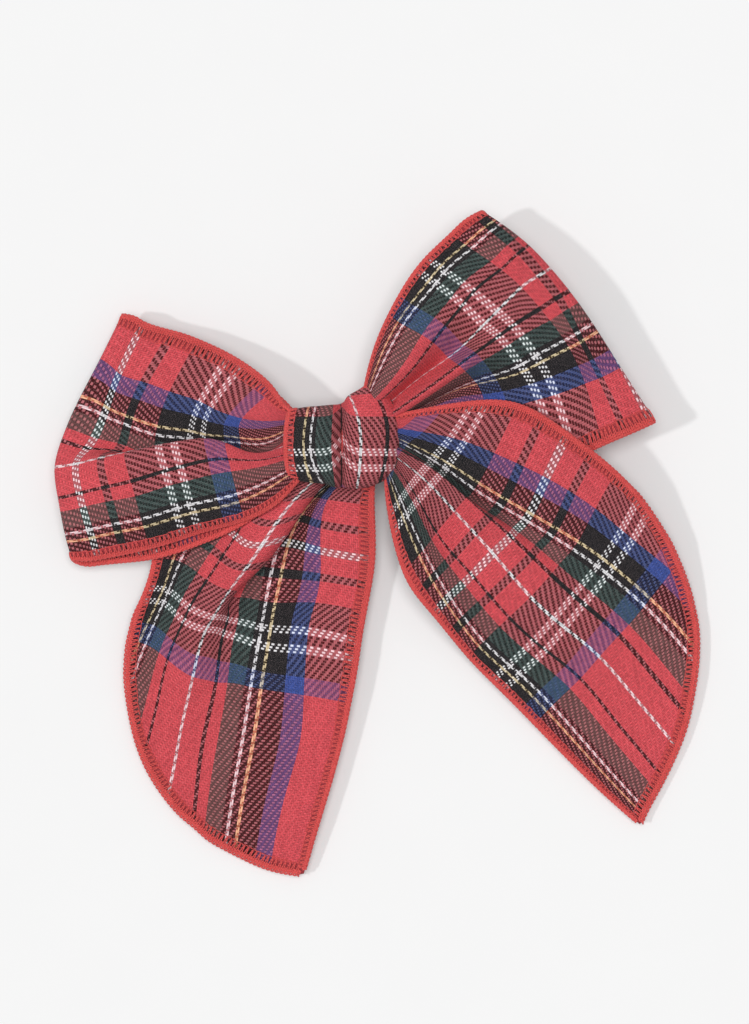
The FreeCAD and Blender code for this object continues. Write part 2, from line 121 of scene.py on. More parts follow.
# ---- panels ----
# Each panel has its own plan: an origin and a direction in the frame, and rows across the strip. A row is
# (how far along the strip, its weft distance or one for each column, the points' offsets along the
# direction, their offsets to the right of it, their heights). All in mm. Columns are distances from edge A.
LEFT_LOOP = {
    "origin": (-35.6, -1.4), "turn": 105,
    "columns": [0, 10.2, 17.65, 25.25, 31.05, 36.75, 44.35, 51],
    "rows": [
    (46, 46, [0.6, -1, -2, -3.6, -5, -6.8, -9.4, -12.2], [25.9, 25.8, 25.6, 25.2, 25, 24.6, 24.2, 23.8],
     [11.3, 11.6, 11.7, 11.6, 12.3, 12.4, 12, 11.2]),
    (36, 36, [3.4, 0.2, -3.6, -6.2, -5, -6.4, -11.4, -16.4], [24.1, 18.6, 18.2, 16.4, 15.6, 15.8, 16, 16.2],
     [10.8, 11.2, 10.4, 9.8, 13, 13.4, 13, 10.8]),
    (28, 28, [7.4, 2.2, -1.6, -4.2, -0.6, -4.2, -12, -17.4], [22.6, 13.6, 12.4, 10.4, 9.2, 8.8, 8.6, 8.6],
     [9.6, 10.6, 9.2, 8.4, 13.4, 14.2, 13.4, 9.6]),
    (20.9, 20.9, [12.6, 4.9, 0, -3.4, 0.9, -3.8, -11.6, -17.4], [18.8, 9.4, 7, 4, 1.8, 1.6, 1.6, 1.8],
     [8.6, 9.6, 8.2, 7.4, 13.2, 14.2, 13, 8.6]),
    (17.7, 17.7, [15.1, 6.4, 1.2, -2.2, 1.2, -3.8, -11.6, -17.6],
     [16.4, 7.6, 4.6, 1.4, -1.4, -1.6, -1.6, -1.6], [8, 9.2, 8, 7.2, 12.8, 14, 12.6, 8.2]),
    (10.4, 10.4, [19.8, 10, 3.8, -0.6, 1.5, -4, -11.8, -17.8], [10.8, 1.8, -2, -5.4, -8.6, -9, -9, -9],
     [7.2, 8.6, 8, 7.6, 12, 13, 11.4, 7.4]),
    (5.3, 5.3, [22.3, 12.9, 6.9, 2.4, 1.7, -3.8, -11.4, -17.6],
     [7.1, -2.4, -6.7, -10.2, -13.2, -13.8, -13.8, -13.8], [6.6, 8, 8, 7.8, 11, 12, 10.4, 6.8]),
    (0, 0, [25.9, 16, 10, 4.5, 1.9, -3.6, -11.2, -17.2],
     [1.4, -6.8, -10.8, -15.6, -18.6, -19.4, -19.4, -19.4], [6, 7, 7.6, 8.4, 9.8, 10.2, 8.8, 6.2]),
    (-3, -3, [27.8, 18.6, 12.4, 6.4, 2.2, -3.5, -11, -16.6],
     [-0.7, -8.6, -13.8, -18.8, -21.6, -22.4, -22.6, -22.6], [5.4, 6.2, 6.6, 7.6, 8.6, 8.8, 7.6, 5.6]),
    (-4.4, -4.4, [28.5, 19.8, 13.4, 7.4, 2.4, -3.4, -10.8, -16.2],
     [-2.2, -9.8, -15.6, -20.2, -22.9, -23.8, -24.4, -24.4], [4.4, 5, 5.2, 6, 6.8, 6.8, 5.8, 4.6]),
    (-5.8, -5.8, [27.7, 18.8, 12.6, 6.8, 2.2, -3.6, -11.2, -17.2],
     [-0.9, -9, -14.6, -19.2, -22, -22.9, -23.4, -23.4], [3.6, 4, 4.2, 4.8, 5.2, 5.2, 4.6, 3.8]),
    (-8.8, -8.8, [25.9, 17, 11, 5, 0.4, -4.6, -12, -18.2],
     [1.5, -6.2, -11.4, -16, -18.8, -19.8, -20.2, -20.2], [3.2, 3.2, 3.2, 3.4, 3.6, 3.8, 3.8, 3.7]),
    (-19.2, -19.2, [19.6, 11.6, 6, 0.4, -3.8, -8, -13.8, -19.8], [10.2, 2.6, -2, -5.6, -8, -9.2, -9.8, -9.8],
     [3.6, 3, 2.6, 2.6, 3, 4, 4.9, 5.7]),
    (-29.7, -29.7, [12, 5.6, 1.4, -2.8, -6, -9.6, -14.4, -19.6], [18, 11, 7, 4.2, 2.4, 1.2, 0.6, 0.4],
     [5.2, 4.8, 4.6, 4.4, 4.5, 5.7, 6.6, 7.3]),
    (-40, -40, [5.4, 1.6, -1.6, -4.8, -7.4, -10, -13.8, -17.6],
     [23.2, 18.8, 16.4, 14.6, 13.6, 12.8, 12, 11.6], [8.4, 8, 7.6, 7.4, 7.4, 8, 8.5, 9]),
    (-52, -52, [0.6, -1, -2, -3.6, -5, -6.8, -9.4, -12.2], [26, 25.8, 25.6, 25.2, 25, 24.6, 24.2, 23.8],
     [9.4, 9.5, 9.6, 9.7, 9.8, 9.8, 9.6, 9.4]),
    ],
}
RIGHT_LOOP = {
    "origin": (30.4, 22.6), "turn": -60,
    "columns": [0, 10.2, 17.65, 25.25, 31.05, 36.75, 44.35, 51],
    "rows": [
    (50, 50, [10.5, 7.4, 5.8, 4.2, 2.6, 0.8, -0.8, -2.2], [30.6, 30.4, 30.4, 30.4, 30.4, 30.4, 30.2, 30.2],
     [11, 11.6, 10.6, 12.8, 11, 13, 12.8, 12]),
    (36, 36, [21, 8.8, 5.6, 3, 0.2, -2.2, -7.4, -10.3], [18.6, 14.6, 15, 16.6, 17.4, 18.2, 21, 22.1],
     [9.9, 12, 10.2, 14.9, 10.4, 15.2, 14.6, 11.6]),
    (28, 28, [27, 12, 6.8, 2, -0.6, -5.2, -11.2, -14.8], [11, 8, 7.4, 8.6, 9.6, 11, 14.2, 15.6],
     [9.3, 12.1, 10.4, 15.2, 11.6, 15.4, 14.6, 11.8]),
    (20.9, 20.9, [29.4, 14.2, 8.2, 1.2, -2.4, -7.6, -14, -18.4], [3.4, 0.4, 0.4, 1.4, 2.8, 4.4, 7, 8.8],
     [9.5, 12.2, 12.2, 14.6, 14.2, 14.8, 14, 12]),
    (17.7, 17.7, [29.7, 15, 8.2, 0.8, -3.4, -8.8, -15.2, -19.5], [0, -3, -3.2, -2.2, -0.8, 1.2, 4, 5.8],
     [10, 12.6, 12.8, 14.4, 14.6, 14.6, 13.6, 11.8]),
    (10.4, 10.4, [30, 16, 8.4, 0.6, -5.2, -10, -16.6, -21.2], [-6.4, -9.4, -9.8, -8.8, -7.6, -6, -3, -1],
     [9.8, 11.8, 12.6, 13.6, 13.8, 13.6, 12.6, 11.2]),
    (3.5, [0.8, 2, 3, 4.2, 4.5, 4.7, 5, 5.3], [31.1, 16.6, 8.3, 0.4, -5.5, -11.2, -17.8, -22.1],
     [-15.9, -15.1, -14.7, -13.9, -12.9, -11.6, -9, -7.1], [9.4, 10.4, 11, 11.8, 11.8, 11.6, 11.2, 10.6]),
    (2, [-0.7, 0.5, 1.5, 2.7, 3, 3.2, 3.5, 3.8], [31.2, 16.6, 8.2, 0.4, -5.6, -11.4, -18, -22],
     [-17.3, -16.6, -16.2, -15.4, -14.4, -13, -10.4, -8.4], [8.8, 9.4, 9.8, 10.4, 10.4, 10.2, 10, 9.8]),
    (0.5, [-2.2, -1, 0, 1.2, 1.5, 1.7, 2, 2.3], [31.1, 16.5, 8.1, 0.3, -5.7, -11.5, -18, -22.1],
     [-16.3, -15.6, -15.2, -14.4, -13.4, -12, -9.4, -7.6], [8.2, 8.4, 8.6, 9.2, 9.2, 9.1, 9.1, 9.1]),
    (-6.4, [-9.8, -8.6, -7.2, -5, -4.4, -4, -3.4, -2.8], [30, 16, 8.4, 0.6, -5.2, -10, -16.6, -21.2],
     [-6.4, -9.4, -9.8, -8.8, -7.6, -6, -3, -1], [8, 8.4, 8.6, 8.8, 8.8, 8.6, 8.6, 8.6]),
    (-16.9, [-20.3, -19.1, -17.7, -15.5, -14.9, -14.5, -13.9, -13.3],
     [27.6, 14.2, 7, 0.6, -3.6, -8, -14, -18.3], [3.4, 1.6, 1.8, 2.4, 3.4, 4.8, 7.2, 8.9],
     [8.4, 9, 9.2, 9.2, 8.8, 8.4, 8.2, 8.4]),
    (-32, [-35.4, -34.2, -32.8, -30.6, -30, -29.6, -29, -28.4], [18, 9.8, 6, 2, -0.8, -3.6, -7.4, -10.2],
     [18.4, 16.6, 16.4, 17, 17.8, 18.8, 20.8, 21.9], [8.8, 9.3, 9.6, 9.6, 9.4, 9.4, 9.4, 9.4]),
    (-46, [-50, -49, -47, -45, -44, -44, -43, -42], [10.5, 7.4, 5.8, 4.2, 2.6, 0.8, -0.8, -2.2],
     [30.6, 30.4, 30.4, 30.4, 30.4, 30.4, 30.2, 30.2], [9.4, 9.4, 9.5, 9.6, 9.6, 9.6, 9.5, 9.4]),
    ],
}
LEFT_TAIL = {
    "origin": (-20.6, -47.4), "turn": 12,
    "columns": [0, 10.2, 17.65, 21.5, 25.25, 27.5, 31.05, 36.75, 44.35, 51],
    "rows": [
    (-21, -21, [34.2, 32, 30, 29, 28, 27.4, 26, 24, 22, 19.6],
     [-36.4, -37, -37.4, -37.6, -37.8, -38, -38.4, -38.8, -39.4, -40],
     [7.4, 7.4, 7.2, 7.2, 7.6, 8, 8.8, 8.4, 7.6, 7.2]),
    (-10.4, -10.4, [32.2, 22.8, 20.2, 17.6, 20.4, 20.6, 16.6, 11.6, 6.6, 2],
     [-28.6, -32, -32.6, -32.8, -32.9, -33, -32.8, -35.2, -38.4, -41],
     [6.2, 5.8, 4.8, 4.2, 5.6, 8, 9.8, 7.6, 5.6, 5.2]),
    (0, 0, [30.1, 18.8, 12.5, 9.4, 12.6, 13.6, 8.9, 4.4, -0.4, -6],
     [-18.2, -22.8, -25.5, -26, -26, -26.2, -25.8, -28.4, -32.2, -35],
     [5, 4.4, 3.6, 3.2, 4.4, 7.6, 10, 7.8, 5.2, 4.6]),
    (5.3, 5.3, [28.3, 17.4, 9.6, 6.2, 7.2, 8.3, 4.9, 0.8, -4.4, -10.4],
     [-13.2, -17.4, -19.8, -21, -21.4, -21.8, -22, -24.8, -29.6, -32],
     [4.4, 3.6, 3, 2.6, 3.6, 6.8, 9.6, 7.8, 5, 4.4]),
    (10.4, 10.4, [26.4, 15.4, 7.4, 3.6, 1, 2.2, 1, -2.8, -7.6, -12.7],
     [-8.6, -12.8, -14.6, -16.2, -17.2, -17.9, -18.6, -21.2, -26, -27.6],
     [4.2, 3, 2.5, 2.3, 3.4, 6, 8.6, 7.2, 4.8, 4.4]),
    (17.7, 17.7, [24, 12.8, 5.4, 1.8, -1, -1.8, -3.6, -7.6, -11.2, -15.5],
     [-2.6, -7.4, -9.6, -11.4, -12.6, -13.2, -13.8, -16.4, -20.6, -22],
     [4, 2.6, 2.4, 2.6, 3.8, 5, 6.6, 6.2, 4.8, 4.8]),
    (20.9, 20.9, [22.8, 11.6, 4, 0.4, -2.4, -3.4, -5.6, -9.4, -12.8, -17.2],
     [0.7, -3.6, -6.2, -8.4, -10, -10.8, -11.6, -14, -18.4, -19.6],
     [4, 2.4, 2.2, 2.4, 3.4, 4.4, 5.8, 5.4, 4.4, 4.6]),
    (30.3, 30.3, [19.5, 9.2, 0.8, -2.8, -5.8, -7.4, -10.2, -14.2, -18, -22.8],
     [8.8, 4.8, 1.6, 0, -0.8, -1.6, -3, -7.2, -11.2, -13.6],
     [3.8, 1.9, 1.7, 1.9, 2.3, 2.7, 3.6, 3.4, 3.2, 3.8]),
    (40, 40, [16.5, 6.4, -3, -6.6, -10, -11.8, -14.4, -19, -24, -30],
     [15.6, 14, 11.6, 10, 8.4, 7.6, 6, 2.8, -1.6, -4.6], [3.4, 1.6, 1.3, 1.3, 1.4, 1.5, 1.7, 1.8, 2.2, 3.2]),
    (50, 50, [11.8, 1.6, -6.8, -10.4, -13.6, -15.4, -18.4, -23.6, -29, -35],
     [24.8, 23.6, 21, 19.4, 18, 17.2, 15.4, 12, 8, 5], [3.2, 1.4, 1.1, 1, 1, 1, 1.2, 1.8, 2.4, 2.8]),
    (60, 60, [7, -2.6, -10.4, -14, -16.8, -19, -22.4, -27.6, -33.4, -39.6],
     [33.6, 33, 30.6, 29.2, 27.8, 26.8, 24.8, 21.6, 17.6, 14.6],
     [2.8, 1.2, 1.2, 1.5, 1.8, 2, 2.2, 2.4, 2.6, 2.6]),
    (69, 69, [2.8, -5.8, -13.6, -17.2, -20.2, -22.2, -25.6, -30.8, -37, -43.6],
     [41.6, 41.4, 39.2, 38, 36.6, 35.6, 33.8, 30.8, 26.8, 23.8],
     [1.8, 1.4, 1.5, 1.6, 1.8, 2, 2.2, 2.4, 2.6, 2.6]),
    ],
    # where the curved cut runs: distance along the strip, and how much of its width is left from edge A
    "cut": [(-21, 51), (21, 51), (25, 50.4), (28, 49.4), (31, 48.5), (34, 47.2), (37, 45.8), (40, 44),
            (43, 42), (46, 39.6), (49, 37), (51.5, 34.8), (54, 32.2), (56.2, 29.3), (59.2, 24),
            (61.8, 17.2), (64.8, 10), (67.2, 2.2), (67.8, 0.5)],
}
RIGHT_TAIL = {
    "origin": (42.4, -31.4), "turn": -38,
    "columns": [0, 10.2, 17.65, 21.5, 25.25, 31.05, 36.75, 44.35, 51],
    "rows": [
    (-30, [-36, -32, -30, -29.5, -29, -28.5, -29, -30, -31],
     [-49.4, -48, -47.2, -46.6, -46.2, -45.4, -44.8, -44, -43.2],
     [-7.6, -5.8, -4.6, -3.8, -3.2, -2.2, -1, 0.2, 1.6], [12.8, 12.8, 12.4, 12, 12.6, 12, 11.8, 11.8, 11.4]),
    (-19, [-21, -19.6, -19, -19, -19, -19, -19, -19, -19.4],
     [-38.2, -36.2, -35.6, -35.4, -35.6, -35.8, -36, -36, -36.2],
     [-20, -11.2, -6.6, -5, -4.8, -2.2, 1.2, 4.6, 8.6], [14.2, 13.6, 12.4, 10.8, 13, 11, 10.4, 11.2, 9.6]),
    (-10.4, -10.4, [-30.6, -28, -27, -27, -27.2, -27.4, -27.6, -27.6, -27.8],
     [-25.2, -13.4, -7, -4.6, -4.4, -0.9, 4.6, 9, 14.8], [14, 12.4, 11, 9.2, 12.2, 9.6, 8.4, 9.8, 8.8]),
    (0, 0, [-19.4, -17, -15.4, -15.6, -15.8, -16.4, -17, -18, -18.4],
     [-26.8, -15.8, -8.4, -5.8, -3.9, 1, 6.8, 13, 17.7], [12.6, 10.2, 8.8, 8, 10.2, 7.8, 6.6, 8.2, 8]),
    (10.4, 10.4, [-7.4, -5.8, -4.6, -4.8, -5, -5.4, -6.2, -7.2, -7.6],
     [-26.8, -17.2, -9.6, -6, -3, 3.2, 8.8, 15.8, 20.1], [9.8, 7.8, 6.8, 6.6, 7.4, 6.2, 5, 5, 3.6]),
    (20.9, 20.9, [2.8, 4.2, 4.4, 4.4, 4.3, 4.2, 4, 3, 2.2],
     [-25.9, -17.2, -10, -6, -2.4, 3.9, 9.5, 16.6, 21.4], [7, 5.4, 4.8, 4.6, 4.8, 4.2, 3.4, 3.2, 2.8]),
    (30.3, 30.3, [13.6, 14, 14, 13.9, 13.6, 13.2, 12.9, 11.8, 11.4],
     [-26.2, -17, -9.6, -5.6, -1.9, 4.2, 9.7, 17.6, 22.6], [5.4, 3.6, 3, 2.8, 2.8, 2.4, 2, 1.9, 2.2]),
    (40, 40, [23.8, 23.6, 23.6, 23.5, 23.2, 22.8, 22.4, 21.6, 21],
     [-25.6, -15.8, -8.2, -4, 0, 6, 11.7, 19.4, 23.9], [4.6, 2.4, 1.8, 1.6, 1.5, 1.3, 1.2, 1.2, 1.8]),
    (50, 50, [33.6, 33.2, 33, 32.8, 32.6, 32.4, 32, 31.4, 31], [-24, -13.6, -6, -1.8, 2, 8, 13.8, 21.2, 25],
     [4.6, 3.2, 2.4, 2, 1.6, 1.1, 1, 1.1, 1.5]),
    (60, 60, [43, 42.8, 42.8, 42.6, 42.4, 42.2, 42, 41.4, 41],
     [-21, -11, -3.6, 0.4, 4.2, 10.2, 16, 22.8, 25.6], [4.6, 3.6, 3, 2.6, 2.4, 2, 1.6, 1.4, 1.4]),
    ],
    # the curved cut: distance along the strip, and how much is cut away from edge A
    "cut": [(-30, 0), (14, 0), (17.5, 0.2), (20, 0.8), (22.5, 1.8), (24.8, 3), (27.2, 4.3), (29.5, 5.9),
            (31.8, 7.2), (34, 8.5), (36.2, 9.7), (38.2, 11), (40.8, 12.6), (43, 14.3), (46, 17.3),
            (48.2, 19.7), (50.2, 22.2), (52.2, 25.2), (54, 28.7), (56.6, 36.6), (58.2, 43.5), (59.5, 50.4)],
}

# ---- knot ----
# across the strip: distance from edge A, middle x, top and bottom y, how far x leans at the top and at
# the bottom, height of the crown
WRAP_COLUMNS = [
    (51, -12.4, 6, -6.8, 0.6, 0.6, 13.2),
    (48.6, -10.6, 6.6, -7.4, 0.8, 1, 14),
    (46.2, -8.7, 6.9, -7.8, 1, 1.6, 14.5),
    (44.35, -7.3, 7, -8, 1, 2.4, 14.8),
    (41.4, -4.9, 7.2, -8.5, 0.8, 1.6, 15),
    (39.6, -3.3, 7.3, -8.7, 0.4, 0.8, 14.6),
    (37.6, -1.8, 7.4, -8.7, 0, 0.1, 13.2),
    (36.4, -1.2, 7.6, -8.6, 0, 0, 12.4),
    (34.6, -0.4, 8, -8.8, -0.2, 0, 13.6),
    (31.05, 2.5, 9.2, -8.9, -2.2, -0.8, 14.9),
    (28, 5.4, 10.4, -8.6, -3, -1.2, 15.1),
    (25.25, 7.9, 11.4, -7.8, -3.6, -1.6, 14.4),
    (23.2, 9.6, 10.8, -6.8, -3.4, -1.6, 13.2),
    (21.8, 10.4, 9.6, -5.6, -2.8, -1.2, 11.8),
    (20.4, 10, 8.6, -4.6, -2.6, -1, 11),
    (18.4, 8.4, 8, -4.2, -2.4, -1, 11),
]
WRAP_BASE = 7.3           # height of the wrap's back
WRAP_PIN = 36.2           # the column that is pinched into a crease, and how far the weft rises there
WRAP_PIN_RISE = 3.0
WRAP_PIN_WIDTH = 2.6
WRAP_SQUARENESS = 0.8
WRAP_WEFT_AT_ZERO = 15.7  # weft distance where y is zero
WRAP_HALF = (9.0, 3.8)    # half depth and half height of a typical ring

# ---- clip, in its own directions, mm ----
CLIP_TURN = 15.0          # degrees from the x axis
RIBBON_TIP, RIBBON_END = -27.4, 5.0
RIBBON_HALF = 3.5
RIBBON_THICK = 0.30
GLUE_CENTRE = -3.0
GLUE_HALF = (7.6, 3.3)
GLUE_OVER = 1.2           # how far the glue is squeezed up into the knot
PIN = (9.0, 2.8)          # the hinge: how far along the clip, and how high
SPRING_COIL = 1.15
SPRING_WIRE = 0.25
SPRING_PITCH = 0.7
SPRING_TURNS = 4.5
SPRING_LEG = 6.9
UPPER_LEG_SLOPE = 0.249
LOWER_LEG_SLOPE = 0.111

# ---- studio ----
VIEW_CENTRE = (5.3, -13.8)
VIEW_HEIGHT = 204.8       # what the frame's long side shows, mm
VIEW_PLANE = 5.0          # height at which that is so
LENS = 150.0
SENSOR = 36.0
FLOOR_SIZE = 4.0          # m
FLOOR_GAP = 0.0002        # m below the lowest point
# name, strength, angular width, azimuth and elevation in degrees. The key comes from the left and a little
# from below; a wide soft light overhead and pale walls all round do the rest.
LAMPS = [("key", 0.80, 4.0, 187.0, 46.0), ("overhead", 1.66, 34.0, 90.0, 86.0)]
WALLS = 0.31

rng = np.random.default_rng(7)


# ---- small mathematics ----

def spline_basis(knots, at):
    """Matrix that turns values at the knots into a natural cubic through them, read at some places."""
    x, at = np.asarray(knots, float), np.asarray(at, float)
    n, h = len(x), np.diff(x)
    a, b = np.zeros((n, n)), np.zeros((n, n))
    a[0, 0] = a[-1, -1] = 1
    for i in range(1, n - 1):
        a[i, i - 1:i + 2] = h[i - 1], 2 * (h[i - 1] + h[i]), h[i]
        b[i, i - 1:i + 2] = 6 / h[i - 1], -6 / h[i - 1] - 6 / h[i], 6 / h[i]
    bend = np.linalg.solve(a, b)
    k = np.clip(np.searchsorted(x, at) - 1, 0, n - 2)
    left, right = (x[k + 1] - at) / h[k], (at - x[k]) / h[k]
    rows = np.arange(len(at))
    out = np.zeros((len(at), n))
    out[rows, k] += left
    out[rows, k + 1] += right
    out += ((left**3 - left) * h[k]**2 / 6)[:, None] * bend[k]
    out += ((right**3 - right) * h[k]**2 / 6)[:, None] * bend[k + 1]
    return out


def unit(v):
    return v / np.maximum(np.linalg.norm(v, axis=-1, keepdims=True), 1e-9)


def distance_along(path):
    """How far along a path each of its points is."""
    return np.concatenate([[0], np.cumsum(np.linalg.norm(np.diff(path, axis=0), axis=1))])


def smooth_noise(x, y, seed, cell):
    """Gentle random hills of unit height over a plane."""
    total = np.zeros(np.shape(x))
    r = np.random.default_rng(seed)
    for k in range(7):
        angle, phase = r.uniform(0, math.tau, 2)
        wave = cell * r.uniform(0.7, 1.6)
        total = total + np.sin((x * math.cos(angle) + y * math.sin(angle)) * math.tau / wave + phase)
    return total / 7


class Surface:
    """Anything with at(across, along), which gives points and weft distances."""

    reach = (0.15, 0.15)      # how far apart points are taken for a normal, across and along

    def frame_at(self, u, t):
        """Points, and unit normals of the face side."""
        du, dt = self.reach
        across = self.at(u + du, t)[..., :3] - self.at(u - du, t)[..., :3]
        along = self.at(u, t + dt)[..., :3] - self.at(u, t - dt)[..., :3]
        return self.at(u, t)[..., :3], unit(np.cross(across, along))


class Panel(Surface):
    """A strip of cloth whose surface runs through the rows of one of the plans above."""

    def __init__(self, plan, seed):
        self.seed = seed
        rows = sorted(plan["rows"], key=lambda row: row[0])
        self.columns = plan["columns"]
        self.along = [row[0] for row in rows]
        turn = math.radians(plan["turn"])
        ca, sa = math.cos(turn), math.sin(turn)
        ox, oy = plan["origin"]
        count = len(self.columns)
        self.values = np.zeros((len(rows), count, 4))
        for i, (_, weft, a, b, z) in enumerate(rows):
            a, b = np.array(a), np.array(b)
            self.values[i, :, 0] = ox + a * ca + b * sa
            self.values[i, :, 1] = oy + a * sa - b * ca
            self.values[i, :, 2] = z
            self.values[i, :, 3] = weft

    def at(self, u, t):
        """Points and weft distances at scattered places (across, along)."""
        shape = np.shape(u)
        u, t = np.ravel(u), np.ravel(t)
        bu, bt = spline_basis(self.columns, u), spline_basis(self.along, t)
        out = np.einsum("nk,nl,klc->nc", bt, bu, self.values)
        ripple = smooth_noise(u, t, self.seed, 9.0) * 0.10 + smooth_noise(u, t, self.seed + 50, 3.1) * 0.04
        out[:, 2] += ripple
        return out.reshape(shape + (4,))


def scene_object(name, data):
    obj = bpy.data.objects.new(name, data)
    bpy.context.scene.collection.objects.link(obj)
    return obj


def mesh_object(name, points, faces, slot, body="bow"):
    """A smooth mesh in its slot's material, riding on a body if one is given."""
    mesh = bpy.data.meshes.new(name)
    corners = [tuple(int(i) for i in face) for face in faces]
    mesh.from_pydata([tuple(p) for p in np.asarray(points) * MM], [], corners)
    mesh.update()
    obj = scene_object(name, mesh)
    for polygon in mesh.polygons:
        polygon.use_smooth = True
    mesh.materials.append(MATERIALS[slot])
    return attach(obj, body) if body else obj


def set_uv(obj, coordinates, name="cloth"):
    """One texture coordinate for each vertex."""
    layer = obj.data.uv_layers.new(name=name)
    index = np.zeros(len(obj.data.loops), np.int32)
    obj.data.loops.foreach_get("vertex_index", index)
    layer.data.foreach_set("uv", np.asarray(coordinates, np.float32)[index].ravel())


def cells(rows, columns):
    """Row and column of every cell of a grid, row by row."""
    i, j = np.meshgrid(np.arange(rows), np.arange(columns), indexing="ij")
    return i.ravel(), j.ravel()


def grid_faces(rows, columns, start=0):
    i, j = cells(rows - 1, columns - 1)
    first, second = i * columns + j, (i + 1) * columns + j
    return np.stack([first, first + 1, second + 1, second], 1) + start


def ring_faces(rings, around, flip=False):
    """Faces of a solid made of closed rings of points, with both ends capped."""
    i, j = cells(rings - 1, around)
    k = (j + 1) % around
    quads = np.stack([i * around + j, i * around + k, (i + 1) * around + k, (i + 1) * around + j], 1)
    low, high = list(range(around)), [(rings - 1) * around + q for q in range(around)]
    if flip:
        return [list(quad) for quad in quads[:, [0, 3, 2, 1]]] + [low, high[::-1]]
    return [list(quad) for quad in quads] + [low[::-1], high]


def cloth_shell(name, surface, normal, uv, slot, edge=None, thick=CLOTH):
    """A closed thin sheet from a grid of points, its normals, its texture coordinates and how far each
    point is from a stitched edge, mm."""
    rows, columns = surface.shape[:2]
    size = rows * columns
    top = (surface + normal * thick / 2).reshape(-1, 3)
    bottom = (surface - normal * thick / 2).reshape(-1, 3)
    faces = [grid_faces(rows, columns), grid_faces(rows, columns, size)[:, ::-1]]
    ring = list(range(columns))
    ring += [i * columns + columns - 1 for i in range(1, rows)]
    ring += [(rows - 1) * columns + j for j in range(columns - 2, -1, -1)]
    ring += [i * columns for i in range(rows - 2, 0, -1)]
    ring = np.array(ring)
    following = np.roll(ring, -1)
    faces.append(np.stack([following, ring, ring + size, following + size], 1))
    obj = mesh_object(name, np.concatenate([top, bottom]), np.concatenate(faces), slot)
    set_uv(obj, np.concatenate([uv.reshape(-1, 2)] * 2))
    if edge is not None:
        set_uv(obj, np.repeat(np.tile(edge.ravel(), 2)[:, None], 2, 1) / UV_UNIT, "edge")
    return obj


def panel_cloth(name, panel, low, high, low_edge, high_edge):
    """The cloth of a panel between two edges, each a function of the distance along the strip."""
    rows = int((high - low) / CELL) + 1
    columns = int(STRIP / CELL) + 1
    t = np.linspace(low, high, rows)
    s = np.linspace(0, 1, columns)
    first, last = low_edge(t), high_edge(t)
    u = first[:, None] + (last - first)[:, None] * s[None, :]
    tt = np.repeat(t[:, None], columns, 1)
    values = panel.at(u, tt)
    _, normal = panel.frame_at(u, tt)
    uv = np.stack([u, values[..., 3]], -1) / UV_UNIT
    slant = [1 / np.hypot(1, np.gradient(line, t)) for line in (first, last)]
    edge = np.minimum((u - first[:, None]) * slant[0][:, None], (last[:, None] - u) * slant[1][:, None])
    return cloth_shell(name, values[..., :3], normal, uv, "plaid_twill", edge)


# ---- threads ----

def tube(path, radius, sides=5, up=(0.13, 0.21, 0.97)):
    """Points and faces of a round thread along a path that never runs along the direction up."""
    path = np.asarray(path, float)
    tangent = unit(np.gradient(path, axis=0))
    side = unit(np.cross(tangent, np.tile(np.array(up, float), (len(path), 1))))
    other = np.cross(side, tangent)
    angle = np.linspace(0, math.tau, sides, endpoint=False)
    ring = side[:, None] * np.cos(angle)[:, None] + other[:, None] * np.sin(angle)[:, None]
    points = (path[:, None, :] + ring * radius).reshape(-1, 3)
    return points, ring_faces(len(path), sides)


def threads_object(name, threads):
    """Several threads (path, radius) as one piece. The texture coordinate runs along and round each."""
    points, faces, coordinates, start, sides = [], [], [], 0, 5
    for path, radius in threads:
        p, f = tube(path, radius, sides)
        points.append(p)
        faces += [[i + start for i in face] for face in f]
        along = np.repeat(distance_along(path), sides) / UV_UNIT
        coordinates.append(np.stack([along, np.tile(np.arange(sides) / sides, len(path))], 1))
        start += len(p)
    obj = mesh_object(name, np.concatenate(points), faces, "serging_thread")
    set_uv(obj, np.concatenate(coordinates))
    return obj


